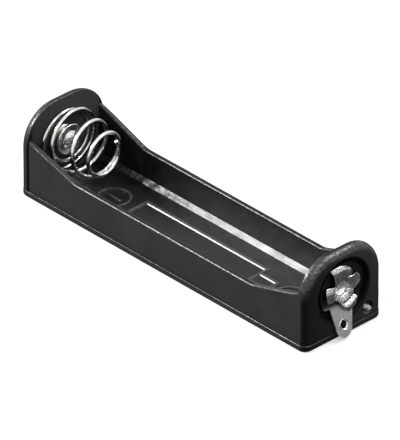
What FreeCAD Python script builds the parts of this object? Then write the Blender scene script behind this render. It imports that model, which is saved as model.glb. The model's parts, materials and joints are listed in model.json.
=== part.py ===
# Single-cell battery holder: a moulded tray with a conical spring contact at one end,
# a rivet contact at the other, and a solder lug riveted to the outside of each end wall.
# Millimetres. The tray stands on Z = 0 and its length runs along X, centred on the origin.
# The spring is at the -X end and the plain rivet contact at the +X end.
import FreeCAD, Part

import math
import os

from FreeCAD import Vector

# Tray, overall
LENGTH = 52.0
WIDTH = 13.4
END_HEIGHT = 12.2
BAND_HEIGHT = 0.95
PLAN_CORNER_R = 1.2
BOTTOM_EDGE_R = 0.4
BAND_EDGE_R = 0.12

# End walls, arched at the top and rounded along their outer edge
END_THICKNESS = 1.45
END_INSET = 0.05
ARCH_R = 5.15
END_EDGE_R = 1.15
END_INNER_EDGE_R = 0.15

# Side walls, low in the middle and climbing to the end walls
SIDE_INSET = 0.28
SIDE_THICKNESS_TOP = 0.78
SIDE_THICKNESS_BASE = 0.9
SIDE_HEIGHT = 5.63
SIDE_EDGE_R = 0.22
DIP_HALF_LENGTH = 16.1
DIP_BLEND_R = 3.0
FRONT_CLIMB = 2.45
BACK_CLIMB = 3.05

# Floor
FLOOR_TOP = 1.2
FLOOR_CHAMFER = 0.58

# Round pockets in the end walls for the lugs, and the mark where the plastic was injected
POCKET_R = 4.3
POCKET_DEPTH = 0.8
POCKET_EDGE_R = 0.15
GATE_Y = 4.1
GATE_Z = 2.3
GATE_R = 0.95
GATE_DEPTH = 0.3

# Heights of the two contacts
SPRING_CONTACT_Z = 6.25
BUTTON_CONTACT_Z = 6.65

# Rivets: a domed head inside the tray, a tubular shank, a flare of four petals outside
SHANK_R = 1.3
SHANK_CLEARANCE = 0.03
RIVET_BORE_R = 1.05
RIVET_BORE_STOP = 0.4
HEAD_R = 2.1
HEAD_THICKNESS = 0.28
HEAD_EDGE_R = 0.1
SPRING_DOME_R = 1.25
SPRING_DOME_HEIGHT = 0.5
BUTTON_DOME_R = 1.5
BUTTON_DOME_HEIGHT = 0.75
FLARE_LIFT = 0.5
FLARE_WALL = 0.24
FLARE_SEAT_GAP = 0.02
PETAL_ANGLES = (107.0, 24.0, -60.0, 184.0)
PETAL_REACHES = (3.7, 2.9, 3.1, 3.35)
PETAL_TIP_HALF_WIDTHS = (1.55, 1.1, 1.15, 1.25)
PETAL_ROOT_HALF_WIDTH = 0.85
PETAL_SHOULDER = 0.7

# Solder lugs: a round head in the pocket and a tapered tongue bent outwards, with a wire hole
LUG_THICKNESS = 0.35
LUG_HEAD_R = 3.6
LUG_SHOULDER_DROP = 2.25
LUG_CORNER_R = 0.3
LUG_TURN_ANGLE = 4.9
LUG_RIM_CLEARANCE = 0.03
LUG_BEND_R = 0.5
LUG_BEND_DROP = 1.75
LUG_TONGUE_HALF_WIDTH = 2.03
LUG_TIP_R = 1.36
LUG_TIP_Z = 0.36
WIRE_HOLE_R = 0.6
WIRE_HOLE_TO_TIP = 1.6

# Conical contact spring; places along the wire are counted in turns
WIRE_R = 0.275
SEAT_GAP = 0.03
SPRING_BASE_R = 4.3
SPRING_TIP_R = 2.35
SPRING_LOOP_R = 1.75
SPRING_FREE_LENGTH = 7.5
SPRING_TIP_LIFT_HEIGHT = 0.35
LEAD_START_TURN = -0.75
LEAD_END_TURN = 0.5
CONE_START_TURN = 0.75
COIL_START_TURN = 0.8
COIL_END_TURN = 3.4
LAST_TURN = 4.1
LEAD_SHAPE_POWER = 0.6
CONE_SHAPE_POWER = 1.4
POINTS_PER_TURN = 12

# Places that follow from the sizes above
HALF_LENGTH = LENGTH / 2
HALF_WIDTH = WIDTH / 2
END_FACE_X = HALF_LENGTH - END_INSET
END_INNER_X = HALF_LENGTH - END_THICKNESS
END_HALF_WIDTH = HALF_WIDTH - END_INSET
SIDE_OUTER_Y = HALF_WIDTH - SIDE_INSET
POCKET_FLOOR_X = END_FACE_X - POCKET_DEPTH
LUG_FACE_X = POCKET_FLOOR_X + LUG_THICKNESS
RIM_RUN = END_FACE_X - LUG_FACE_X
RIM_DROP = POCKET_R + POCKET_EDGE_R - LUG_BEND_DROP
LUG_LEAN = math.atan2(RIM_RUN, RIM_DROP) + math.asin((LUG_THICKNESS + LUG_RIM_CLEARANCE)
                                                     / math.hypot(RIM_RUN, RIM_DROP))
OVERSHOOT = 1.0

ALONG_X = Vector(1, 0, 0)


def line(a, b):
    """Straight edge."""
    return Part.LineSegment(a, b).toShape()


def arc(a, middle, b):
    """Edge of a circle through three points."""
    return Part.Arc(a, middle, b).toShape()


def prism(edges, direction):
    """Solid swept along a direction from the face that the closed edges bound."""
    return Part.Face(Part.Wire(Part.__sortEdges__(edges))).extrude(direction)


def polygon_prism(points, direction):
    """Solid swept along a direction from a polygon."""
    return Part.Face(Part.makePolygon(points + points[:1])).extrude(direction)


def mirrored_in_x(shape):
    """The same shape at the other end of the tray."""
    return shape.mirror(Vector(0, 0, 0), ALONG_X)


def edges_where(shape, test):
    """Edges whose bounding box passes the test."""
    return [edge for edge in shape.Edges if test(edge.BoundBox)]


def base_slab():
    """Base plate with rounded corners; its edge shows as a band all round the tray."""
    slab = Part.makeBox(LENGTH, WIDTH, BAND_HEIGHT, Vector(-HALF_LENGTH, -HALF_WIDTH, 0))
    corners = edges_where(slab, lambda box: box.ZLength > BAND_HEIGHT / 2)
    slab = slab.makeFillet(PLAN_CORNER_R, corners)
    bottom = edges_where(slab, lambda box: box.ZMax < BAND_HEIGHT / 4)
    slab = slab.makeFillet(BOTTOM_EDGE_R, bottom)
    top = edges_where(slab, lambda box: box.ZMin > BAND_HEIGHT - BAND_EDGE_R / 2)
    return slab.makeFillet(BAND_EDGE_R, top)


def arched_outline(x, half_width, length):
    """Prism along X with the outline of an end wall: straight sides, round shoulders, flat top."""
    spring_z = END_HEIGHT - ARCH_R
    flat = half_width - ARCH_R
    lean = ARCH_R * math.sqrt(0.5)
    low_z = BAND_HEIGHT / 2
    y = half_width
    edges = [
        line(Vector(x, -y, low_z), Vector(x, y, low_z)),
        line(Vector(x, y, low_z), Vector(x, y, spring_z)),
        arc(Vector(x, y, spring_z), Vector(x, flat + lean, spring_z + lean), Vector(x, flat, END_HEIGHT)),
        line(Vector(x, flat, END_HEIGHT), Vector(x, -flat, END_HEIGHT)),
        arc(Vector(x, -flat, END_HEIGHT), Vector(x, -flat - lean, spring_z + lean), Vector(x, -y, spring_z)),
        line(Vector(x, -y, spring_z), Vector(x, -y, low_z)),
    ]
    return prism(edges, Vector(length, 0, 0))


def trough_section():
    """Solid with the section of both side walls and the floor, uncut at the top."""
    inner_top = SIDE_OUTER_Y - SIDE_THICKNESS_TOP
    inner_base = SIDE_OUTER_Y - SIDE_THICKNESS_BASE
    lean = (inner_top - inner_base) / (SIDE_HEIGHT - FLOOR_TOP)
    x = -END_INNER_X - END_THICKNESS / 2
    length = -2 * x
    outer = Part.makeBox(length, 2 * SIDE_OUTER_Y, END_HEIGHT - BAND_HEIGHT / 2,
                         Vector(x, -SIDE_OUTER_Y, BAND_HEIGHT / 2))
    top_z = END_HEIGHT + OVERSHOOT
    top_y = inner_base + lean * (top_z - FLOOR_TOP)
    cavity = polygon_prism([Vector(x - OVERSHOOT, -inner_base, FLOOR_TOP),
                            Vector(x - OVERSHOOT, inner_base, FLOOR_TOP),
                            Vector(x - OVERSHOOT, top_y, top_z),
                            Vector(x - OVERSHOOT, -top_y, top_z)],
                           Vector(length + 2 * OVERSHOOT, 0, 0))
    floor_edges = edges_where(cavity, lambda box: box.XLength > LENGTH / 2
                              and box.ZMax < FLOOR_TOP + FLOOR_CHAMFER)
    return outer.cut(cavity.makeChamfer(FLOOR_CHAMFER, floor_edges))


def side_profile(climb):
    """Outline of one side wall seen from the side: a level dip between two rising ends."""
    slope = climb / (END_INNER_X - DIP_HALF_LENGTH)
    end_x = HALF_LENGTH
    end_z = SIDE_HEIGHT + slope * (end_x - DIP_HALF_LENGTH)
    outline = polygon_prism([Vector(-end_x, 0, 0),
                             Vector(end_x, 0, 0),
                             Vector(end_x, 0, end_z),
                             Vector(DIP_HALF_LENGTH, 0, SIDE_HEIGHT),
                             Vector(-DIP_HALF_LENGTH, 0, SIDE_HEIGHT),
                             Vector(-end_x, 0, end_z)],
                            Vector(0, WIDTH, 0))
    kinks = edges_where(outline, lambda box: box.YLength > HALF_WIDTH
                        and abs(abs(box.Center.x) - DIP_HALF_LENGTH) < OVERSHOOT
                        and abs(box.Center.z - SIDE_HEIGHT) < OVERSHOOT)
    return outline.makeFillet(DIP_BLEND_R, kinks)


def side_walls():
    """Both side walls, each with its half of the floor, trimmed to the end walls' shoulders."""
    trough = trough_section()
    front = trough.common(side_profile(FRONT_CLIMB).translated(Vector(0, -WIDTH, 0)))
    back = trough.common(side_profile(BACK_CLIMB))
    shoulders = arched_outline(-HALF_LENGTH, SIDE_OUTER_Y, LENGTH)
    return [round_wall_top(wall).common(shoulders) for wall in (front, back)]


def round_wall_top(wall):
    """Rounds the inner and outer edge of a wall's top."""
    middle = SIDE_OUTER_Y - SIDE_THICKNESS_TOP
    tops = edges_where(wall, lambda box: box.ZMax > SIDE_HEIGHT - SIDE_EDGE_R
                       and box.ZMin > SIDE_HEIGHT - SIDE_EDGE_R
                       and box.XLength > SIDE_EDGE_R
                       and max(abs(box.YMin), abs(box.YMax)) > middle - SIDE_EDGE_R
                       and box.YLength < SIDE_THICKNESS_TOP / 2)
    return wall.makeFillet(SIDE_EDGE_R, tops)


def end_wall():
    """Arched wall at the +X end, rounded along its outer edge."""
    wall = arched_outline(END_INNER_X, END_HALF_WIDTH, END_FACE_X - END_INNER_X)
    outer = edges_where(wall, lambda box: box.XMin > END_FACE_X - END_EDGE_R / 2 and box.ZMax > BAND_HEIGHT)
    wall = wall.makeFillet(END_EDGE_R, outer)
    inner = edges_where(wall, lambda box: box.XMax < END_INNER_X + END_INNER_EDGE_R / 2
                        and box.ZMax > BAND_HEIGHT)
    return wall.makeFillet(END_INNER_EDGE_R, inner)


def contact_pocket(contact_z):
    """Tool that cuts the lug's round pocket and the rivet's bore into the +X end wall."""
    pocket = Part.makeCylinder(POCKET_R, POCKET_DEPTH + OVERSHOOT,
                               Vector(POCKET_FLOOR_X, 0, contact_z), ALONG_X)
    mouth = Part.makeCone(POCKET_R, POCKET_R + POCKET_EDGE_R + OVERSHOOT, POCKET_EDGE_R + OVERSHOOT,
                          Vector(END_FACE_X - POCKET_EDGE_R, 0, contact_z), ALONG_X)
    bore = Part.makeCylinder(SHANK_R + SHANK_CLEARANCE, 2 * END_THICKNESS + OVERSHOOT,
                             Vector(END_INNER_X - OVERSHOOT, 0, contact_z), ALONG_X)
    return pocket.fuse([mouth, bore])


def gate_dimple():
    """Shallow dimple in the +X end wall where the runner broke off."""
    ball_r = (GATE_R ** 2 + GATE_DEPTH ** 2) / (2 * GATE_DEPTH)
    return Part.makeSphere(ball_r, Vector(END_FACE_X + ball_r - GATE_DEPTH, GATE_Y, GATE_Z))


def holder_body():
    """The one-piece moulding: base, floor, side walls and end walls."""
    walls = side_walls() + [end_wall(), mirrored_in_x(end_wall())]
    body = base_slab().fuse(walls).removeSplitter()
    cuts = [contact_pocket(BUTTON_CONTACT_Z), mirrored_in_x(contact_pocket(SPRING_CONTACT_Z)), gate_dimple()]
    return body.cut(cuts)


def petal_outline(angle, reach, tip):
    """Prism with one petal's outline seen along the rivet, from its axis out to a wide round tip."""
    shoulder = reach - PETAL_SHOULDER
    x = -OVERSHOOT
    edges = [
        line(Vector(x, 0, -PETAL_ROOT_HALF_WIDTH), Vector(x, 0, PETAL_ROOT_HALF_WIDTH)),
        line(Vector(x, 0, PETAL_ROOT_HALF_WIDTH), Vector(x, shoulder, tip)),
        arc(Vector(x, shoulder, tip), Vector(x, reach, 0), Vector(x, shoulder, -tip)),
        line(Vector(x, shoulder, -tip), Vector(x, 0, -PETAL_ROOT_HALF_WIDTH)),
    ]
    outline = prism(edges, Vector(FLARE_LIFT + 3 * OVERSHOOT, 0, 0))
    return outline.rotated(Vector(0, 0, 0), ALONG_X, angle)


def trumpet():
    """The tube's end opened out like a trumpet, with its root on X = 0 and its axis on X."""
    full_reach = max(PETAL_REACHES)
    share = 1 - math.sqrt(0.5)

    def meridian(root_r, lift):
        """Arc from the root, steep at first, out to the longest petal's reach."""
        middle = Vector(lift * math.sqrt(0.5), root_r + (full_reach - root_r) * share, 0)
        return Vector(0, root_r, 0), middle, Vector(lift, full_reach, 0)

    under = meridian(SHANK_R, FLARE_LIFT)
    over = meridian(RIVET_BORE_R, FLARE_LIFT + FLARE_WALL)
    edges = [arc(*under), line(under[2], over[2]), arc(*over), line(over[0], under[0])]
    face = Part.Face(Part.Wire(Part.__sortEdges__(edges)))
    return face.revolve(Vector(0, 0, 0), ALONG_X, 360)


def petal_flare():
    """The trumpet split into petals down to the tube, with its root on X = 0."""
    root = Part.makeCylinder(SHANK_R + FLARE_WALL, FLARE_LIFT + 3 * OVERSHOOT,
                             Vector(-OVERSHOOT, 0, 0), ALONG_X)
    petals = zip(PETAL_ANGLES, PETAL_REACHES, PETAL_TIP_HALF_WIDTHS)
    star = root.fuse([petal_outline(angle, reach, tip) for angle, reach, tip in petals])
    return trumpet().common(star)


def rivet_head(dome_r, dome_height):
    """Round flange with a dome, facing -X from X = 0."""
    flange = Part.makeCylinder(HEAD_R, HEAD_THICKNESS, Vector(-HEAD_THICKNESS, 0, 0), ALONG_X)
    flange = flange.makeFillet(HEAD_EDGE_R, edges_where(flange, lambda box: box.YLength > HEAD_R
                                                        and box.XLength < HEAD_THICKNESS / 2))
    ball_r = (dome_r ** 2 + dome_height ** 2) / (2 * dome_height)
    ball = Part.makeSphere(ball_r, Vector(ball_r - dome_height - HEAD_THICKNESS, 0, 0))
    cap = ball.common(Part.makeBox(dome_height, 2 * ball_r, 2 * ball_r,
                                   Vector(-dome_height - HEAD_THICKNESS, -ball_r, -ball_r)))
    return flange.fuse(cap)


def rivet(contact_z, head_seat_x, dome_r, dome_height):
    """Rivet of the +X end: its head's underside at head_seat_x, its flare on the lug's head."""
    head = rivet_head(dome_r, dome_height).translated(Vector(head_seat_x, 0, 0))
    flare_x = LUG_FACE_X + FLARE_SEAT_GAP
    shank = Part.makeCylinder(SHANK_R, flare_x - head_seat_x, Vector(head_seat_x, 0, 0), ALONG_X)
    hollow_x = END_INNER_X + RIVET_BORE_STOP
    hollow = Part.makeCylinder(RIVET_BORE_R, flare_x + OVERSHOOT - hollow_x, Vector(hollow_x, 0, 0), ALONG_X)
    flare = petal_flare().translated(Vector(flare_x, 0, 0))
    solid = head.fuse([shank.cut(hollow), flare]).removeSplitter()
    return solid.translated(Vector(0, 0, contact_z))


def lug_head(x, depth):
    """Disc of the lug as a prism along X, cut off flat on both sides of the tongue."""
    disc = Part.makeCylinder(LUG_HEAD_R, depth, Vector(x, 0, 0), ALONG_X)
    kept = Part.makeBox(depth, 2 * LUG_HEAD_R, LUG_HEAD_R + LUG_SHOULDER_DROP,
                        Vector(x, -LUG_HEAD_R, -LUG_SHOULDER_DROP))
    head = disc.common(kept)
    corners = edges_where(head, lambda box: box.XLength > depth / 2
                          and box.ZMax < LUG_CORNER_R / 2 - LUG_SHOULDER_DROP)
    return head.makeFillet(LUG_CORNER_R, corners)


def lug_outline(tip_drop):
    """Prism with the lug's outline seen along the rivet, which is on the X axis."""
    depth = 2 * tip_drop
    x = -tip_drop
    tip_z = LUG_TIP_R - tip_drop
    tip = Part.makeCylinder(LUG_TIP_R, depth, Vector(x, 0, tip_z), ALONG_X)
    tongue = polygon_prism([Vector(x, -LUG_TONGUE_HALF_WIDTH, -LUG_BEND_DROP),
                            Vector(x, LUG_TONGUE_HALF_WIDTH, -LUG_BEND_DROP),
                            Vector(x, LUG_TIP_R, tip_z),
                            Vector(x, -LUG_TIP_R, tip_z)],
                           Vector(depth, 0, 0))
    rivet_hole = Part.makeCylinder(SHANK_R + SHANK_CLEARANCE, depth, Vector(x, 0, 0), ALONG_X)
    return lug_head(x, depth).fuse([tip, tongue]).removeSplitter().cut(rivet_hole)


def lug_sheet():
    """Bent sheet that the lug is cut from: upright with its outer face on X = 0, then leaning out."""
    run = END_HEIGHT
    bend = Vector(0, -HALF_WIDTH, -LUG_BEND_DROP)
    along = Vector(math.sin(LUG_LEAN), 0, -math.cos(LUG_LEAN))
    across = Vector(-LUG_THICKNESS, 0, -LUG_THICKNESS * math.tan(LUG_LEAN / 2))
    upright = Vector(0, 0, run)
    sheet = polygon_prism([bend + upright, bend, bend + along * run, bend + along * run + across,
                           bend + across, bend + across + upright],
                          Vector(0, WIDTH, 0))

    def at(corner):
        """Test for the edge across the sheet that passes through a corner of its outline."""
        return lambda box: abs(box.Center.x - corner.x) + abs(box.Center.z - corner.z) < LUG_THICKNESS / 4

    sheet = sheet.makeFillet(LUG_BEND_R, edges_where(sheet, at(bend)))
    return sheet.makeFillet(LUG_BEND_R + LUG_THICKNESS, edges_where(sheet, at(bend + across)))


def wire_hole(tip_drop):
    """Tool for the lug's wire hole, square to the tongue."""
    drop = tip_drop - WIRE_HOLE_TO_TIP
    face = Vector((drop - LUG_BEND_DROP) * math.tan(LUG_LEAN), 0, -drop)
    normal = Vector(math.cos(LUG_LEAN), 0, math.sin(LUG_LEAN))
    return Part.makeCylinder(WIRE_HOLE_R, 2 * OVERSHOOT, face - normal * OVERSHOOT, normal)


def solder_lug(contact_z):
    """Solder lug of the +X end, turned a little about its rivet."""
    tip_drop = contact_z - LUG_TIP_Z
    lug = lug_outline(tip_drop).common(lug_sheet()).cut(wire_hole(tip_drop))
    lug = lug.rotated(Vector(0, 0, 0), ALONG_X, -LUG_TURN_ANGLE)
    return lug.translated(Vector(LUG_FACE_X, 0, contact_z))


def smooth_step(value):
    """0 below 0, 1 above 1, with no kink between."""
    value = min(max(value, 0.0), 1.0)
    return value * value * (3 - 2 * value)


def spring_radius(turn):
    """Radius of the spring's centreline: a lead-in that grows from the loop, then the cone."""
    if turn < LEAD_END_TURN:
        share = (turn - LEAD_START_TURN) / (LEAD_END_TURN - LEAD_START_TURN)
        return SPRING_LOOP_R + (SPRING_BASE_R - SPRING_LOOP_R) * share ** LEAD_SHAPE_POWER
    share = max(turn - CONE_START_TURN, 0) / (LAST_TURN - CONE_START_TURN)
    return SPRING_BASE_R - (SPRING_BASE_R - SPRING_TIP_R) * share ** CONE_SHAPE_POWER


def spring_point(turn):
    """Point on the spring's centreline; turn 0 points along +Y and a quarter turn along +Z."""
    seat_x = -END_INNER_X + WIRE_R + SEAT_GAP
    rise = SPRING_FREE_LENGTH - 2 * WIRE_R - SEAT_GAP
    share = (turn - COIL_START_TURN) / (COIL_END_TURN - COIL_START_TURN)
    climb = 0.5 * (smooth_step(share) + min(max(share, 0.0), 1.0))
    angle = 2 * math.pi * turn
    radius = spring_radius(turn)
    return Vector(seat_x + rise * climb,
                  radius * math.cos(angle),
                  SPRING_CONTACT_Z + SPRING_TIP_LIFT_HEIGHT * climb + radius * math.sin(angle))


def contact_spring():
    """Round wire wound from a loop under the rivet's head out to a cone with a closed last turn."""
    count = round((LAST_TURN - LEAD_START_TURN) * POINTS_PER_TURN)
    points = [spring_point(LEAD_START_TURN + i * (LAST_TURN - LEAD_START_TURN) / count) for i in range(count + 1)]
    curve = Part.BSplineCurve()
    curve.interpolate(Points=points)
    path = Part.Wire(curve.toShape())
    start = curve.value(curve.FirstParameter)
    tangent = curve.tangent(curve.FirstParameter)[0]
    section = Part.Wire(Part.Circle(start, tangent, WIRE_R).toShape())
    return path.makePipeShell([section], True, True)


def nodes():
    """Every separate piece by name."""
    spring_head_x = END_INNER_X - 2 * (WIRE_R + SEAT_GAP)
    return {
        "holder_body": holder_body(),
        "contact_spring": contact_spring(),
        "spring_rivet": mirrored_in_x(rivet(SPRING_CONTACT_Z, spring_head_x, SPRING_DOME_R, SPRING_DOME_HEIGHT)),
        "negative_lug": mirrored_in_x(solder_lug(SPRING_CONTACT_Z)),
        "button_rivet": rivet(BUTTON_CONTACT_Z, END_INNER_X, BUTTON_DOME_R, BUTTON_DOME_HEIGHT),
        "positive_lug": solder_lug(BUTTON_CONTACT_Z),
    }


def main():
    """Writes one STEP file per piece."""
    os.makedirs("parts", exist_ok=True)
    for name, shape in nodes().items():
        shape = shape.Solids[0]
        shape.exportStep("parts/" + name + ".step")
        box = shape.BoundBox
        print(name, shape.ShapeType, "solids", len(shape.Solids), "valid", shape.isValid(),
              "volume %.2f" % shape.Volume,
              "x %.2f..%.2f y %.2f..%.2f z %.2f..%.2f" % (box.XMin, box.XMax, box.YMin, box.YMax,
                                                         box.ZMin, box.ZMax))


main()
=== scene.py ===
import json
import math
from types import SimpleNamespace
import bmesh
import bpy
from mathutils import Matrix, Vector

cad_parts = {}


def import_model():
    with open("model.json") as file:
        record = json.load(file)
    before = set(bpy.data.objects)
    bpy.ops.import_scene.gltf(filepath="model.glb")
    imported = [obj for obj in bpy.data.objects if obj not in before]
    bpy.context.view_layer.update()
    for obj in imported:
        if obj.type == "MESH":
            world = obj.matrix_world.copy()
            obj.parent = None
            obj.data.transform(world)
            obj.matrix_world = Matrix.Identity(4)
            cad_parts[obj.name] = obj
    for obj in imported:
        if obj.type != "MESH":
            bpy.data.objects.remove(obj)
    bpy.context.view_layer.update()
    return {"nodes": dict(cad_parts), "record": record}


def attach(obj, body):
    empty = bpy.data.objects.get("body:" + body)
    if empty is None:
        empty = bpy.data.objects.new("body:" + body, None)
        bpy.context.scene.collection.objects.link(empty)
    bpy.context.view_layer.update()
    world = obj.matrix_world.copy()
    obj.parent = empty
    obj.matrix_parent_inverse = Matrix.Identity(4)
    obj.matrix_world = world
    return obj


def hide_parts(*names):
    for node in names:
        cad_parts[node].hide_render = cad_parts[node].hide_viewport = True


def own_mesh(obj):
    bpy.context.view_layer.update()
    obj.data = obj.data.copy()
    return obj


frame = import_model()
nodes = frame["nodes"]
mounts = {mount["name"]: mount for mount in frame["record"]["mounts"]}
MM = 0.001

# Camera fitted to the photograph: azimuth, elevation, distance, focal length in pixels
AZIMUTH = math.radians(46.677)
ELEVATION = math.radians(32.164)
DISTANCE = 1.2621
FOCAL_PX = 10095.0
FRAME_LONG_SIDE_PX = 440.0
AIM_RIGHT_PX = 0.73
AIM_UP_PX = 33.85
SENSOR_MM = 36.0

# Places of the tray's faces, in millimetres
END_INNER_X = 24.55
LUG_FACE_X = 25.5
FLOOR_TOP = 1.2

# Limits of the polished inside and of the lug pockets, in millimetres
INSIDE_X = 24.57
INSIDE_Y = 5.72
INSIDE_Z = 1.0
INSIDE_FADE = 0.06
POCKET_Z = 6.45
POCKET_RIM_R = (4.45, 4.65)
POCKET_DEPTH_X = (24.70, 24.80)

# Stretch of the lugs with painted shade, in the pockets, in millimetres from the middle of the tray
LUG_SHADE_X = 25.56
LUG_SHADE_FADE = 0.12

# Tones, and the range that most of a noise's values lie in
PLASTIC_DARK = (0.006, 0.006, 0.0063)
PLASTIC_LIGHT = (0.092, 0.092, 0.095)
# Raised signs painted lighter than the floor, as lit.
RAISED_PAINTED_LIGHT = (0.036, 0.036, 0.037)
TORN_DARK = (0.03, 0.03, 0.03)
TORN_LIGHT = (0.75, 0.75, 0.75)
FLOOR_PALE = (0.50, 0.50, 0.50)
FLOOR_REFLECTED = (0.10, 0.10, 0.10)
FLOOR_GLOW = 0.51
SKY_LIGHT = 0.12
WHITE = (1, 1, 1, 1)
NOISE_RANGE = (0.3, 0.7)

# Contact spring: sizes in millimetres, and places along the wire in turns
WIRE_R = 0.275
WIRE_END_PUSH = 0.06
WIRE_END_SHARE = 0.8
SEAT_GAP = 0.03
SPRING_CONTACT_Z = 6.25
SPRING_BASE_R = 4.3
SPRING_TIP_R = 2.35
SPRING_LOOP_R = 1.75
SPRING_RISE = 6.92
SPRING_TIP_LIFT = 0.35
LEAD_START_TURN = -0.75
LEAD_END_TURN = 0.5
LEAD_CURVE = 0.6
CONE_START_TURN = 0.75
CONE_CURVE = 1.4
CLIMB_START_TURN = 0.8
CLIMB_END_TURN = 3.4
LAST_TURN = 4.1

# Rivets, in millimetres; a dome is its radius and its height
BUTTON_CONTACT_Z = 6.65
SHANK_R = 1.3
HEAD_R = 2.1
HEAD_THICKNESS = 0.28
HEAD_EDGE_R = 0.12
DOME_FOOT = 0.05
BUTTON_DOME = (1.5, 0.75)
SPRING_DOME = (1.25, 0.5)
PETAL_THICKNESS = 0.2

# Raised signs on the floor, in millimetres; a line is its half width and how far each side leans in
RIDGE_HEIGHT = 0.12
RIDGE_FOOT = 0.01
SIGN_LINE = (0.2, 0.03)
CELL_LINE = (0.33, 0.12)
CIRCLE_R = 2.13
MINUS_X = -15.6
MINUS_REACH = 1.3
PLUS_X = 16.3
PLUS_REACH = 1.2
CELL_X = (-11.9, 9.97)
CELL_Y = 2.26
CELL_BUTTON_X = (10.2, 13.16)
CELL_BUTTON_Y = 1.02

# Dimple of the moulding gate beside the lug, in millimetres
GATE_Y = 4.1
GATE_Z = 2.3
GATE_FLOOR_X = 25.65
GATE_BOWL_R = 1.654

# Fineness of the meshes
SPRING_STEPS = 360
WIRE_SIDES = 18
RIVET_SIDES = 56
DOME_STEPS = 8
HEAD_EDGE_STEPS = 5
BURR_SIDES = 40
CIRCLE_SIDES = 48
PETAL_COLUMNS = 17
PETAL_STEPS = 6


# Shader nodes

def adjust(thing, settings):
    for key, value in settings.items():
        setattr(thing, key, value)


def add_node(tree, kind, values, **settings):
    """Outputs of a new node, its inputs set to constants or linked to the outputs of others."""
    node = tree.nodes.new(kind)
    adjust(node, settings)
    for socket, value in values.items():
        if isinstance(value, bpy.types.NodeSocket):
            tree.links.new(value, node.inputs[socket])
        else:
            node.inputs[socket].default_value = value
    return node.outputs


def new_tree(owner):
    """Empty node tree of a material or world."""
    owner.use_nodes = True
    owner.node_tree.nodes.clear()
    return owner.node_tree


def surface(tree, values):
    """Principled surface with these values, as the material's output."""
    shader = add_node(tree, "ShaderNodeBsdfPrincipled", values)
    add_node(tree, "ShaderNodeOutputMaterial", {"Surface": shader["BSDF"]})


def coordinates(tree, kind="Object"):
    return add_node(tree, "ShaderNodeTexCoord", {})[kind]


def true_normal(tree):
    return add_node(tree, "ShaderNodeNewGeometry", {})["True Normal"]


def light_path(tree):
    return add_node(tree, "ShaderNodeLightPath", {})


def split_xyz(tree, vector):
    parts = add_node(tree, "ShaderNodeSeparateXYZ", {"Vector": vector})
    return parts["X"], parts["Y"], parts["Z"]


def drawn_out(tree, vector, factors):
    """Coordinates multiplied axis by axis, for a texture with a direction."""
    return add_node(tree, "ShaderNodeVectorMath", {0: vector, 1: factors}, operation="MULTIPLY")[0]


def noise(tree, scale, detail, rough, vector):
    values = {"Scale": scale, "Detail": detail, "Roughness": rough, "Vector": vector}
    return add_node(tree, "ShaderNodeTexNoise", values)["Fac"]


def math_node(tree, kind, *numbers):
    return add_node(tree, "ShaderNodeMath", dict(enumerate(numbers)), operation=kind)[0]


def ramp(tree, source, ends, results):
    """Straight ramp between two results, held level beyond the two ends of the source."""
    values = {"Value": source, "From Min": ends[0], "From Max": ends[1], "To Min": results[0],
              "To Max": results[1]}
    return add_node(tree, "ShaderNodeMapRange", values)["Result"]


def place_ramp(tree, place, ends, results):
    """Ramp over a coordinate, its ends in millimetres."""
    return ramp(tree, place, [end * MM for end in ends], results)


def blend_value(tree, factor, at_zero, at_one):
    return add_node(tree, "ShaderNodeMix", {"Factor": factor, "A": at_zero, "B": at_one})["Result"]


def blend_colour(tree, factor, at_zero, at_one):
    values = {"Factor": factor, "A": (*at_zero, 1), "B": (*at_one, 1)}
    return add_node(tree, "ShaderNodeMix", values, data_type="RGBA")["Result"]


def bump(tree, height, strength, distance, start=None):
    """Normal bumped by a height, its distance in millimetres, over another normal where one is given."""
    values = {"Height": height, "Strength": strength, "Distance": distance * MM}
    if start is not None:
        values["Normal"] = start
    return add_node(tree, "ShaderNodeBump", values)["Normal"]


# Places on the tray

def inside_tray(tree, x, y, z):
    """1 on the polished inner faces of the tray, 0 on its grained outside."""
    in_x = math_node(tree, "SUBTRACT", INSIDE_X * MM, math_node(tree, "ABSOLUTE", x))
    in_y = math_node(tree, "SUBTRACT", INSIDE_Y * MM, math_node(tree, "ABSOLUTE", y))
    in_z = math_node(tree, "SUBTRACT", z, INSIDE_Z * MM)
    least = math_node(tree, "MINIMUM", in_x, math_node(tree, "MINIMUM", in_y, in_z))
    return place_ramp(tree, least, (0.0, INSIDE_FADE), (0.0, 1.0))


def in_pocket(tree, x, y, z):
    """1 in the round pockets on the outside of the end walls."""
    level = math_node(tree, "SUBTRACT", z, POCKET_Z * MM)
    squares = [math_node(tree, "POWER", side, 2.0) for side in (level, y)]
    reach = math_node(tree, "SQRT", math_node(tree, "ADD", *squares))
    near = place_ramp(tree, reach, POCKET_RIM_R, (1.0, 0.0))
    deep = place_ramp(tree, math_node(tree, "ABSOLUTE", x), POCKET_DEPTH_X, (0.0, 1.0))
    return math_node(tree, "MULTIPLY", near, deep)


def face_masks(tree):
    """Masks of rounded edges that look up, of the other rounded edges, of end faces and of flat tops."""
    x, y, z = split_xyz(tree, true_normal(tree))
    sides = [math_node(tree, "ABSOLUTE", side) for side in (x, y, z)]
    most = math_node(tree, "MAXIMUM", sides[0], math_node(tree, "MAXIMUM", sides[1], sides[2]))
    turning = ramp(tree, most, (0.985, 0.92), (0.0, 1.0))
    upward = math_node(tree, "MULTIPLY", turning, ramp(tree, z, (0.05, 0.35), (0.0, 1.0)))
    others = math_node(tree, "SUBTRACT", turning, upward)
    ends = ramp(tree, sides[0], (0.90, 0.98), (0.0, 1.0))
    tops = ramp(tree, z, (0.95, 0.99), (0.0, 1.0))
    return upward, others, ends, tops


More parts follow.
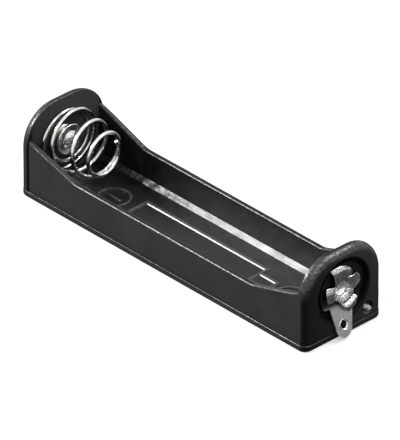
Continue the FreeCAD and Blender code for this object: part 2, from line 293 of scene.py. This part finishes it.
def inside_shade_and_gloss(tree, x, z):
    """Tone and gloss of floor and side walls, with painted shade: both lower beside the spring and towards
    the top of the walls.
    """
    towards_wall = place_ramp(tree, x, (-18.5, -15.5), (1.0, 0.5))
    towards_cell = place_ramp(tree, x, (-12.0, 0.0), (0.5, 1.0))
    along = math_node(tree, "MAXIMUM", towards_wall, towards_cell)
    return math_node(tree, "MULTIPLY", along, place_ramp(tree, z, (3.0, 5.2), (1.0, 0.5)))


def tray_places(tree):
    """Coordinates on the tray, the masks that tell its finishes and its painted shade apart, and the
    textures they share.
    """
    coords = coordinates(tree)
    x, y, z = split_xyz(tree, coords)
    upward, others, ends, tops = face_masks(tree)
    pocket = in_pocket(tree, x, y, z)
    return SimpleNamespace(
        coords=coords, x=x, y=y, z=z, ends=ends, tops=tops, upward_edges=upward,
        inner=inside_tray(tree, x, y, z),
        worn_edges=blend_value(tree, pocket, upward, 0.0),
        # Painted shade: the pockets and the rounded edges that don't look up are painted near black.
        painted_dark=math_node(tree, "MAXIMUM", pocket, others),
        # Painted shade inside, which lowers the gloss there too.
        shade_and_gloss=inside_shade_and_gloss(tree, x, z),
        grain=noise(tree, 5200.0, 3.0, 0.6, coords),
        waves=noise(tree, 420.0, 3.0, 0.5, coords))


# Plastic

def tray_colour(tree, at):
    """Cloudy grey outside, with painted shade: darker on flat tops and towards -Y on the ends, near black
    in the pockets and on rounded edges that don't look up; inside, painted shade and painted light.
    """
    cloud = noise(tree, 260.0, 3.0, 0.6, at.coords)
    # Painted shade: the end faces darken towards -Y, down to 0.15 of their tone.
    end_painted_shade = blend_value(tree, at.ends, 1.0, place_ramp(tree, at.y, (-5.5, 2.5), (0.15, 1.0)))
    # Painted shade: flat tops at half the tone.
    painted_face_tone = blend_value(tree, at.tops, end_painted_shade, 0.5)
    grained_tone = math_node(tree, "MULTIPLY", painted_face_tone, ramp(tree, cloud, NOISE_RANGE, (0.18, 0.25)))
    outside = blend_value(tree, at.painted_dark, grained_tone, 0.0)
    # Inside: floor and side walls take the painted shade; the inner end faces are painted light, at the
    # full light tone.
    inside = blend_value(tree, at.ends, math_node(tree, "MULTIPLY", at.shade_and_gloss, 0.075), 1.0)
    return blend_colour(tree, blend_value(tree, at.inner, outside, inside), PLASTIC_DARK, PLASTIC_LIGHT)


def tray_roughness(tree, at):
    """Grained outside, smoother on worn edges, and smoothest inside."""
    faces = ramp(tree, at.grain, NOISE_RANGE, (0.34, 0.48))
    edges = ramp(tree, at.grain, NOISE_RANGE, (0.24, 0.36))
    inside = ramp(tree, at.waves, NOISE_RANGE, (0.20, 0.30))
    return blend_value(tree, at.inner, blend_value(tree, at.worn_edges, faces, edges), inside)


def chamfer_gloss(tree, at):
    """Gloss of the sloping edge of the floor: drawn-out streaks, and blotches towards the spring."""
    streaks = noise(tree, 3000.0, 3.0, 0.6, drawn_out(tree, at.coords, (0.12, 1.0, 1.0)))
    blotches = noise(tree, 1500.0, 4.0, 0.7, at.coords)
    even = ramp(tree, streaks, (0.35, 0.65), (0.115, 0.20))
    broken = math_node(tree, "MULTIPLY", even, ramp(tree, blotches, (0.42, 0.58), (0.35, 1.15)))
    lifted = math_node(tree, "MULTIPLY", broken, place_ramp(tree, at.x, (-15.5, -13.5), (2.4, 1.0)))
    return blend_value(tree, place_ramp(tree, at.x, (-10.0, -4.0), (1.0, 0.0)), even, lifted)


def tray_gloss(tree, at):
    """Specks on worn edges, fewer along the base away from the lug, and the gloss inside, lower where shade
    is painted.
    """
    specks = noise(tree, 2600.0, 4.0, 0.7, at.coords)
    worn = ramp(tree, specks, (0.38, 0.66), (0.18, 0.95))
    worn_base = math_node(tree, "MULTIPLY", worn, place_ramp(tree, at.x, (6.0, 22.0), (0.35, 1.0)))
    edges = blend_value(tree, place_ramp(tree, at.z, (1.3, 1.6), (1.0, 0.0)), worn, worn_base)
    outside = blend_value(tree, at.worn_edges, 0.05, edges)
    polished = math_node(tree, "MULTIPLY", at.shade_and_gloss, 0.16)
    inside = blend_value(tree, at.upward_edges, polished, chamfer_gloss(tree, at))
    return blend_value(tree, at.inner, outside, inside)


def tray_normal(tree, at):
    """Broad waves, deeper beside the spring, over a fine grain that is faint inside."""
    strength = blend_value(tree, at.inner, blend_value(tree, at.worn_edges, 0.5, 0.9), 0.06)
    fine = bump(tree, at.grain, strength, 0.03)
    return bump(tree, at.waves, place_ramp(tree, at.x, (-12.8, -10.5), (0.7, 0.11)), 0.12, fine)


def plastic_material():
    """Black moulding: grained outside with worn upper edges, polished inside, with shade painted near black
    in the pockets and other painted shade and light.
    """
    mat = bpy.data.materials.new("black_plastic")
    tree = new_tree(mat)
    at = tray_places(tree)
    surface(tree, {
        "Base Color": tray_colour(tree, at),
        "Roughness": tray_roughness(tree, at),
        "Specular IOR Level": tray_gloss(tree, at),
        "Normal": tray_normal(tree, at),
    })
    return mat


def raised_material():
    """Raised signs: plastic painted lighter than the floor around them, as lit, and polished on top by use.
    """
    mat = bpy.data.materials.new("raised_plastic")
    tree = new_tree(mat)
    specks = noise(tree, 2600.0, 3.0, 0.6, coordinates(tree))
    surface(tree, {
        "Base Color": (*RAISED_PAINTED_LIGHT, 1),
        "Roughness": ramp(tree, specks, NOISE_RANGE, (0.18, 0.34)),
        "Specular IOR Level": ramp(tree, specks, (0.35, 0.65), (0.22, 0.5)),
        "Normal": bump(tree, specks, 0.5, 0.02),
    })
    return mat


def torn_material():
    """Broken plastic, whitened in specks where it was torn."""
    mat = bpy.data.materials.new("torn_plastic")
    tree = new_tree(mat)
    specks = noise(tree, 4200.0, 3.0, 0.7, coordinates(tree))
    whitened = ramp(tree, specks, (0.42, 0.60), (0.0, 1.0))
    surface(tree, {
        "Base Color": blend_colour(tree, whitened, TORN_DARK, TORN_LIGHT),
        "Roughness": 0.5,
        "Specular IOR Level": 0.4,
        "Normal": bump(tree, specks, 0.8, 0.04),
    })
    return mat


# Metal

def lug_shade_painted(tree, coords, tint, limit, share):
    """Colour brought down to a share of itself within |x| of the limit, and lower still high up: painted
    shade on the lug heads in the pockets.
    """
    x, _, z = split_xyz(tree, coords)
    ends = (limit, limit + LUG_SHADE_FADE)
    far = place_ramp(tree, math_node(tree, "ABSOLUTE", x), ends, (share, 1.0))
    high = place_ramp(tree, z, (4.0, 5.4), (1.0, 0.3))
    values = {0: tint, "Scale": math_node(tree, "MULTIPLY", far, high)}
    return add_node(tree, "ShaderNodeVectorMath", values, operation="SCALE")[0]


def metal_material(name, colour, dark, roughness, scale, relief, painted_shade=None, stretch=None):
    """Plated metal, clouded by a noise of this scale.

    Dark is the share of the colour left in the darkest clouds, roughness its range over them, and relief
    the strength and the height of their bumps. Painted shade is the limit in |x| and the share of the
    colour left within it, darkened as shade. Stretch draws the clouds out along the piece's own surface.
    """
    mat = bpy.data.materials.new(name)
    tree = new_tree(mat)
    coords = coordinates(tree, "UV" if stretch else "Object")
    cloud = noise(tree, scale, 4.0, 0.6, drawn_out(tree, coords, stretch) if stretch else coords)
    darkened = [tone * dark for tone in colour]
    tint = blend_colour(tree, ramp(tree, cloud, NOISE_RANGE, (0.0, 1.0)), darkened, colour)
    surface(tree, {
        "Metallic": 1.0,
        "Base Color": lug_shade_painted(tree, coords, tint, *painted_shade) if painted_shade else tint,
        "Roughness": ramp(tree, cloud, NOISE_RANGE, roughness),
        "Normal": bump(tree, cloud, *relief),
    })
    return mat


def assign(obj, mat):
    obj.data.materials.clear()
    obj.data.materials.append(mat)


PLASTIC = plastic_material()
TORN = torn_material()
RAISED = raised_material()
HEADS = metal_material("pressed_nickel", (0.97, 0.96, 0.94), dark=0.84, roughness=(0.19, 0.28),
                       scale=1100.0, relief=(0.3, 0.02))
BRIGHT = metal_material("bright_nickel", (0.80, 0.79, 0.77), dark=0.86, roughness=(0.10, 0.18),
                        scale=900.0, relief=(0.12, 0.02))
FLARED = metal_material("worked_nickel", (0.95, 0.94, 0.91), dark=0.12, roughness=(0.08, 0.18),
                        scale=1.0, relief=(0.9, 0.07), stretch=(5.0, 16.0, 1.0))
# Satin lugs: their heads inside the pockets get painted shade.
SATIN = metal_material("satin_plate", (0.66, 0.66, 0.65), dark=0.86, roughness=(0.30, 0.42),
                       scale=1400.0, relief=(0.25, 0.02), painted_shade=(LUG_SHADE_X, 0.2))

assign(nodes["holder_body"], PLASTIC)
for name in ("contact_spring", "spring_rivet", "button_rivet"):
    assign(nodes[name], BRIGHT)
for name in ("negative_lug", "positive_lug"):
    assign(nodes[name], SATIN)


# Meshes

def add_object(name, data):
    obj = bpy.data.objects.new(name, data)
    bpy.context.scene.collection.objects.link(obj)
    return obj


def new_piece(name, verts, faces, mat, body, places=None):
    """Smooth mesh piece from points in millimetres, riding on a body of the record."""
    mesh = bpy.data.meshes.new(name)
    mesh.from_pydata([tuple(c * MM for c in v) for v in verts], [], faces)
    bm = bmesh.new()
    bm.from_mesh(mesh)
    bmesh.ops.recalc_face_normals(bm, faces=bm.faces)
    bm.to_mesh(mesh)
    bm.free()
    mesh.polygons.foreach_set("use_smooth", [True] * len(mesh.polygons))
    if places:
        layer = mesh.uv_layers.new(name="along")
        for loop in mesh.loops:
            layer.data[loop.index].uv = places[loop.vertex_index]
    obj = add_object(name, mesh)
    assign(obj, mat)
    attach(obj, body)
    return obj


def modifier(obj, kind, **settings):
    adjust(obj.modifiers.new(kind.lower(), kind), settings)


def join_onto(verts, faces, more_verts, more_faces):
    """Add a mesh's points and faces to the lists of another."""
    faces += [tuple(k + len(verts) for k in face) for face in more_faces]
    verts += more_verts


def round_turn(sides):
    """Cosine and sine of equal steps round a circle."""
    angles = [2 * math.pi * j / sides for j in range(sides)]
    return [(math.cos(a), math.sin(a)) for a in angles]


def loft(rings):
    """Verts and faces of a skin over rings of points; a ring of one point closes an end."""
    verts, faces, numbers = [], [], []
    for ring in rings:
        numbers.append(range(len(verts), len(verts) + len(ring)))
        verts += ring
    for low, high in zip(numbers, numbers[1:]):
        sides = max(len(low), len(high))
        for j in range(sides):
            n = (j + 1) % sides
            corners = [low[j % len(low)], low[n % len(low)], high[n % len(high)], high[j % len(high)]]
            faces.append(tuple(dict.fromkeys(corners)))
    return verts, faces


def lathe(profile, sides, to_world):
    """Verts and faces of a profile of (x, r) turned about X; r of 0 closes an end."""
    rings = []
    for x, r in profile:
        turn = round_turn(sides if r else 1)
        rings.append([to_world(Vector((x, r * c, r * s))) for c, s in turn])
    return loft(rings)


def ring_frames(points):
    """Tangent, side and up at each point of a curve, carried along it without twist."""
    last = len(points) - 1
    tangents = [(points[min(i + 1, last)] - points[max(i - 1, 0)]).normalized() for i in range(last + 1)]
    side = tangents[0].orthogonal().normalized()
    frames = []
    for t in tangents:
        side = (side - t * side.dot(t)).normalized()
        frames.append((t, side, t.cross(side)))
    return frames


def wire(points):
    """Verts and faces of the spring's wire along a curve, its ends a little rounded."""
    last = len(points) - 1
    sections = [(0, -WIRE_END_PUSH, 0.0), (0, -WIRE_END_PUSH, WIRE_END_SHARE)]
    sections += [(i, 0.0, 1.0) for i in range(last + 1)]
    sections += [(last, WIRE_END_PUSH, WIRE_END_SHARE), (last, WIRE_END_PUSH, 0.0)]
    frames = ring_frames(points)
    rings = []
    for i, push, share in sections:
        tangent, side, up = frames[i]
        centre = points[i] + tangent * push
        turn = round_turn(WIRE_SIDES if share else 1)
        rings.append([centre + (side * c + up * s) * WIRE_R * share for c, s in turn])
    return loft(rings)


def grid_faces(rows, columns):
    """Quads of a grid whose points are listed row by row."""
    faces = []
    for i in range(rows - 1):
        for j in range(columns - 1):
            a = i * columns + j
            faces.append((a, a + 1, a + columns + 1, a + columns))
    return faces


# Contact spring

def smooth_step(value):
    value = min(max(value, 0.0), 1.0)
    return value * value * (3 - 2 * value)


def spring_radius(turn):
    """Radius of the coil: the lead widens from the loop under the rivet, then the cone narrows."""
    if turn < LEAD_END_TURN:
        share = (turn - LEAD_START_TURN) / (LEAD_END_TURN - LEAD_START_TURN)
        return SPRING_LOOP_R + (SPRING_BASE_R - SPRING_LOOP_R) * share ** LEAD_CURVE
    share = max(turn - CONE_START_TURN, 0) / (LAST_TURN - CONE_START_TURN)
    return SPRING_BASE_R - (SPRING_BASE_R - SPRING_TIP_R) * share ** CONE_CURVE


def spring_point(turn):
    """Centre line of the wire, in the same turns as the solid's."""
    radius, angle = spring_radius(turn), 2 * math.pi * turn
    share = (turn - CLIMB_START_TURN) / (CLIMB_END_TURN - CLIMB_START_TURN)
    climb = 0.5 * (smooth_step(share) + min(max(share, 0.0), 1.0))
    return Vector((-END_INNER_X + WIRE_R + SEAT_GAP + SPRING_RISE * climb,
                   radius * math.cos(angle),
                   SPRING_CONTACT_Z + SPRING_TIP_LIFT * climb + radius * math.sin(angle)))


def contact_spring():
    """The coil, on the spring's body, in place of the solid's."""
    step = (LAST_TURN - LEAD_START_TURN) / SPRING_STEPS
    verts, faces = wire([spring_point(LEAD_START_TURN + i * step) for i in range(SPRING_STEPS + 1)])
    spring = new_piece("spring_coil", verts, faces, BRIGHT, "spring")
    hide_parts("contact_spring")
    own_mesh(spring)


# Rivets

# Hollow end of the shank as (x, r), with x counted from the lug's face.
BORE_PROFILE = ((0, 1.05), (-0.12, 1.0), (-0.27, 0.86), (-0.42, 0.62), (-0.52, 0.35), (-0.55, 0))

# Petals of the flare: rows from the bore outwards, columns across. The bore's rows are (radius, height), at
# each petal's own angles in degrees; a free point is (y, z, height). Heights count from the lug's face.
BORE_ROWS = ((1.10, -0.6), (1.12, 0.12), (1.70, 0.45))
PETALS = (
    ((146, 120, 93, 66),
     (((-1.75, 2.55, 0.50), (-1.00, 2.75, 0.64), (0.00, 2.70, 0.66), (1.25, 2.10, 0.60)),
      ((-1.95, 2.95, 0.45), (-1.15, 3.15, 0.62), (-0.10, 3.15, 0.62), (1.20, 2.50, 0.50)),
      ((-2.10, 3.35, 0.12), (-1.20, 3.60, 0.22), (-0.15, 3.50, 0.25), (1.10, 2.80, 0.30)))),
    ((66, 38, 10, -18),
     (((1.55, 1.65, 0.55), (2.00, 1.20, 0.62), (2.15, 0.60, 0.62), (1.95, -0.25, 0.55)),
      ((1.80, 2.00, 0.70), (2.25, 1.45, 0.85), (2.40, 0.70, 0.85), (2.15, 0.10, 0.75)))),
    ((-18, -61, -104, -148),
     (((1.65, -1.20, 0.50), (0.95, -1.75, 0.50), (0.05, -2.00, 0.50), (-0.70, -1.65, 0.50)),
      ((1.80, -1.45, 0.88), (1.20, -2.00, 0.92), (0.30, -2.45, 0.90), (-0.20, -2.35, 0.72)),
      ((1.85, -2.10, 0.80), (1.60, -2.60, 0.80), (0.90, -3.15, 0.75), (0.45, -3.20, 0.68)))),
    ((-148, -170, -192, -214),
     (((-1.90, -1.05, 0.50), (-2.00, -0.40, 0.58), (-2.10, 0.40, 0.62), (-1.95, 1.05, 0.35)),
      ((-2.75, -1.00, 0.40), (-3.00, -0.30, 0.50), (-3.10, 0.45, 0.52), (-2.90, 1.15, 0.18)))),
)


def head_profile(dome_r, dome_height, seat_x):
    """Dome and flange facing -X, then the shank and its hollow end, as (x, r)."""
    ball_r = (dome_r ** 2 + dome_height ** 2) / (2 * dome_height)
    face = seat_x - HEAD_THICKNESS
    top = face - dome_height
    profile = [(top, 0)]
    for i in range(1, DOME_STEPS + 1):
        r = dome_r * i / DOME_STEPS
        profile.append((top + ball_r - math.sqrt(ball_r ** 2 - r ** 2), r))
    flat_r = HEAD_R - HEAD_EDGE_R
    profile += [(face, dome_r + DOME_FOOT), (face, flat_r)]
    for i in range(1, HEAD_EDGE_STEPS + 1):
        a = math.pi / 2 * i / HEAD_EDGE_STEPS
        profile.append((face + HEAD_EDGE_R * (1 - math.cos(a)), flat_r + HEAD_EDGE_R * math.sin(a)))
    profile += [(seat_x, HEAD_R), (seat_x, SHANK_R), (LUG_FACE_X, SHANK_R)]
    return profile + [(LUG_FACE_X + x, r) for x, r in BORE_PROFILE]


def catmull(points, t):
    """Point of a smooth curve through all the points, t from 0 to 1."""
    last = len(points) - 1
    i = min(int(t * last), last - 1)
    f = t * last - i
    p1, p2 = points[i], points[i + 1]
    p0 = points[i - 1] if i > 0 else p1 * 2 - p2
    p3 = points[i + 2] if i + 2 <= last else p2 * 2 - p1
    return 0.5 * (p1 * 2 + (p2 - p0) * f + (p0 * 2 - p1 * 5 + p2 * 4 - p3) * f ** 2
                  + (p1 * 3 - p0 - p2 * 3 + p3) * f ** 3)


def petal_rows(degrees, free_rows):
    """Control rows of one petal as (height, y, z) vectors."""
    angles = [math.radians(d) for d in degrees]
    rows = [[Vector((h, r * math.cos(a), r * math.sin(a))) for a in angles] for r, h in BORE_ROWS]
    return rows + [[Vector((h, y, z)) for y, z, h in row] for row in free_rows]


def petal_grid(degrees, free_rows, seed):
    """Middle surface of one petal with a slightly torn rim, and the place of each point on it."""
    rows = petal_rows(degrees, free_rows)
    steps = PETAL_STEPS * (len(rows) - 1) + 1
    verts, places = [], []
    for i in range(steps):
        for j in range(PETAL_COLUMNS):
            v = j / (PETAL_COLUMNS - 1)
            torn = 0.018 * math.sin(11 * v + 2.3 * seed) + 0.012 * math.sin(27 * v + seed)
            u = i / (steps - 1) * (1 + torn)
            verts.append(catmull([catmull(row, v) for row in rows], min(u, 1.0)))
            places.append((u, v + 3 * seed))
    return verts, grid_faces(steps, PETAL_COLUMNS), places


def rivet(name, contact_z, seat_x, dome, side, first_seed):
    """Head and flare of one rivet; side is 1 at the positive end and -1 at the negative end."""
    def place(p):
        return Vector((side * p.x, p.y, p.z + contact_z))

    verts, faces = lathe(head_profile(*dome, seat_x), RIVET_SIDES, place)
    head = new_piece(name + "_head", verts, faces, HEADS, "holder")
    modifier(head, "EDGE_SPLIT", split_angle=math.radians(50))
    verts, faces, places = [], [], []
    for seed, (degrees, free_rows) in enumerate(PETALS, first_seed):
        grid, quads, spots = petal_grid(degrees, free_rows, seed)
        join_onto(verts, faces, [place(p + Vector((LUG_FACE_X, 0, 0))) for p in grid], quads)
        places += spots
    flare = new_piece(name + "_flare", verts, faces, FLARED, "holder", places)
    modifier(flare, "SOLIDIFY", thickness=PETAL_THICKNESS * MM, offset=0.0)
    modifier(flare, "SUBSURF", levels=1, render_levels=1)
    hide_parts(name)
    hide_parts(name)


# Signs on the floor

def ridge(points, half_width, lean, closed):
    """Low flat ridge along a line of (x, y) points; lean is how far each side slopes in."""
    half_top = half_width - lean
    section = ((-half_width, -RIDGE_FOOT), (-half_top, RIDGE_HEIGHT), (half_top, RIDGE_HEIGHT),
               (half_width, -RIDGE_FOOT))
    size, count = len(section), len(points)
    line = [Vector(p) for p in points]
    steps = [(b - a).normalized() for a, b in zip(line, line[1:] + line[:1])]
    if not closed:
        steps[-1] = steps[-2]
    verts, faces = [], []
    for i, (here, go) in enumerate(zip(line, steps)):
        come = steps[i - 1] if closed or i > 0 else go
        normal = Vector((-come.y, come.x))
        mitre = (normal + Vector((-go.y, go.x))).normalized()
        mitre = mitre / mitre.dot(normal)
        for across, up in section:
            verts.append(Vector((here.x + mitre.x * across, here.y + mitre.y * across, FLOOR_TOP + up)))
    for i in range(count if closed else count - 1):
        for j in range(size - 1):
            a, b = i * size + j, ((i + 1) % count) * size + j
            faces.append((a, b, b + 1, a + 1))
    if not closed:
        end = (count - 1) * size
        faces.append(tuple(range(size)))
        faces.append(tuple(end + k for k in reversed(range(size))))
    return verts, faces


def circle(x):
    """Points of a sign's circle, its middle on the tray's centre line."""
    return [(x + CIRCLE_R * c, CIRCLE_R * s) for c, s in round_turn(CIRCLE_SIDES)]


def floor_signs():
    """Circle with minus, circle with plus, and the outline of a cell with its button."""
    bar_edge = SIGN_LINE[0] - SIGN_LINE[1]
    (cell_start, cell_end), (button_start, button_end) = CELL_X, CELL_BUTTON_X
    lines = [
        (circle(MINUS_X), SIGN_LINE, True),
        ([(MINUS_X - MINUS_REACH, 0), (MINUS_X + MINUS_REACH, 0)], SIGN_LINE, False),
        (circle(PLUS_X), SIGN_LINE, True),
        ([(PLUS_X - PLUS_REACH, 0), (PLUS_X + PLUS_REACH, 0)], SIGN_LINE, False),
        ([(PLUS_X, -PLUS_REACH), (PLUS_X, -bar_edge)], SIGN_LINE, False),
        ([(PLUS_X, bar_edge), (PLUS_X, PLUS_REACH)], SIGN_LINE, False),
        ([(cell_start, -CELL_Y), (cell_end, -CELL_Y), (cell_end, CELL_Y), (cell_start, CELL_Y)],
         CELL_LINE, True),
        ([(button_start, CELL_BUTTON_Y), (button_end, CELL_BUTTON_Y), (button_end, -CELL_BUTTON_Y),
          (button_start, -CELL_BUTTON_Y)], CELL_LINE, False),
    ]
    verts, faces = [], []
    for points, (half_width, lean), closed in lines:
        join_onto(verts, faces, *ridge(points, half_width, lean, closed))
    signs = new_piece("floor_signs", verts, faces, RAISED, "holder")
    modifier(signs, "EDGE_SPLIT", split_angle=math.radians(30))


# Marks of making

def gate_nub():
    """Torn stub of the sprue in the dimple low on the positive end: a ragged little crest."""
    length, width, height, sunk = 1.7, 0.75, 0.26, 0.02
    turn = math.radians(-38)
    rows, columns = 22, 9
    verts = []
    for i in range(rows):
        for j in range(columns):
            u, v = 2 * i / (rows - 1) - 1, 2 * j / (columns - 1) - 1
            round_off = max(1 - u * u, 0) ** 0.5
            ragged = 0.30 * math.sin(7.1 * u + 1.3 * v) + 0.24 * math.sin(15.7 * u - 4.1 * v + 1.0)
            crest = max(1 - abs(v) ** 1.5, 0) * round_off
            along, across = u * length / 2, v * width / 2 * (0.4 + 0.6 * round_off)
            y = along * math.cos(turn) - across * math.sin(turn)
            z = along * math.sin(turn) + across * math.cos(turn)
            bowl = GATE_BOWL_R - math.sqrt(GATE_BOWL_R ** 2 - y ** 2 - z ** 2)
            x = GATE_FLOOR_X + bowl + height * crest * (1 + ragged) - sunk
            verts.append(Vector((x, GATE_Y + y, GATE_Z + z)))
    new_piece("gate_nub", verts, grid_faces(rows, columns), TORN, "holder")


# Rolled edge of a punched hole as (x, r), with x counted outwards from the hole's mount.
BURR_PROFILE = ((0.155, 0.76), (0.205, 0.73), (0.225, 0.69), (0.205, 0.65), (0.095, 0.54), (0.035, 0.51),
                (-0.16, 0.51))


def wire_hole_burr(name, mount):
    """Rolled edge that the punch left round a lug's wire hole."""
    centre = Vector([c / MM for c in mount["pos_m"]])
    axis = Vector(mount["axis"]).normalized()
    side = axis.cross(Vector((0, 0, 1))).normalized()
    up = side.cross(axis)
    verts, faces = lathe(BURR_PROFILE, BURR_SIDES, lambda p: centre + axis * p.x + side * p.y + up * p.z)
    new_piece(name, verts, faces, BRIGHT, "holder")


contact_spring()
gate_nub()
for end in ("positive", "negative"):
    wire_hole_burr(end + "_hole_edge", mounts[end + "_wire_hole"])
rivet("button_rivet", BUTTON_CONTACT_Z, END_INNER_X, BUTTON_DOME, 1, 0)
rivet("spring_rivet", SPRING_CONTACT_Z, END_INNER_X - 2 * (WIRE_R + SEAT_GAP), SPRING_DOME, -1, 10)
floor_signs()


# Stage

# Lamps: name, place and aim in metres, width and height in metres, power in watts.
LAMPS = (
    ("key", (-0.370, -0.319, 0.349), (0, 0, 0), (0.13, 0.19), 6.2),
    ("back", (0.12, 0.28, 0.46), (0, 0, 0), (0.26, 0.06), 1.4),
    ("rim", (0.195, 0.195, 0.42), (0.026, 0, 0.01), (0.05, 0.05), 0.42),
    ("top", (0.33, -0.12, 0.48), (0.01, 0, 0), (0.07, 0.07), 1.3),
)


def floor():
    """Pale floor a hair below the base, seen white by the camera and dark in reflections."""
    half, level = 1.5, -0.02 * MM
    corners = [(-half, -half, level), (half, -half, level), (half, half, level), (-half, half, level)]
    mesh = bpy.data.meshes.new("floor")
    mesh.from_pydata(corners, [], [(0, 1, 2, 3)])
    obj = add_object("floor", mesh)
    mat = bpy.data.materials.new("floor_white")
    tree = new_tree(mat)
    path = light_path(tree)
    surface(tree, {
        "Base Color": blend_colour(tree, path["Is Glossy Ray"], FLOOR_PALE, FLOOR_REFLECTED),
        "Roughness": 0.9,
        "Specular IOR Level": 0.1,
        "Emission Color": WHITE,
        "Emission Strength": ramp(tree, path["Is Camera Ray"], (0.0, 1.0), (0.0, FLOOR_GLOW)),
    })
    assign(obj, mat)


def world():
    """Dim sky that the camera, metal and glass see as white."""
    sky = bpy.data.worlds.new("studio")
    bpy.context.scene.world = sky
    tree = new_tree(sky)
    path = light_path(tree)
    seen = math_node(tree, "MAXIMUM", path["Is Camera Ray"], path["Is Transmission Ray"])
    seen = math_node(tree, "MAXIMUM", seen, path["Is Glossy Ray"])
    strength = ramp(tree, seen, (0.0, 1.0), (SKY_LIGHT, 1.0))
    back = add_node(tree, "ShaderNodeBackground", {"Color": WHITE, "Strength": strength})
    add_node(tree, "ShaderNodeOutputWorld", {"Surface": back["Background"]})


def camera():
    """Camera at the photograph's viewing angle, looking a little above the origin."""
    data = bpy.data.cameras.new("camera")
    data.sensor_width = SENSOR_MM
    data.lens = FOCAL_PX / FRAME_LONG_SIDE_PX * SENSOR_MM
    data.clip_start, data.clip_end = 0.05, 10.0
    cam = add_object("camera", data)
    a, e = AZIMUTH, ELEVATION
    back = Vector((math.sin(a) * math.cos(e), -math.cos(a) * math.cos(e), math.sin(e)))
    right = Vector((math.cos(a), math.sin(a), 0))
    up = back.cross(right)
    forward = (-back + right * (AIM_RIGHT_PX / FOCAL_PX) + up * (AIM_UP_PX / FOCAL_PX)).normalized()
    right = forward.cross(up).normalized()
    up = right.cross(forward)
    cam.matrix_world = Matrix((
        (right.x, up.x, -forward.x, back.x * DISTANCE),
        (right.y, up.y, -forward.y, back.y * DISTANCE),
        (right.z, up.z, -forward.z, back.z * DISTANCE),
        (0, 0, 0, 1)))
    bpy.context.scene.camera = cam


def area_light(name, place, aim, size, power):
    light = bpy.data.lights.new(name, "AREA")
    light.shape = "RECTANGLE"
    light.size, light.size_y = size
    light.energy = power
    obj = add_object(name, light)
    obj.location = place
    obj.rotation_euler = (Vector(aim) - Vector(place)).to_track_quat("-Z", "Y").to_euler()


floor()
world()
camera()
for lamp in LAMPS:
    area_light(*lamp)

bpy.context.scene.view_settings.view_transform = "Standard"
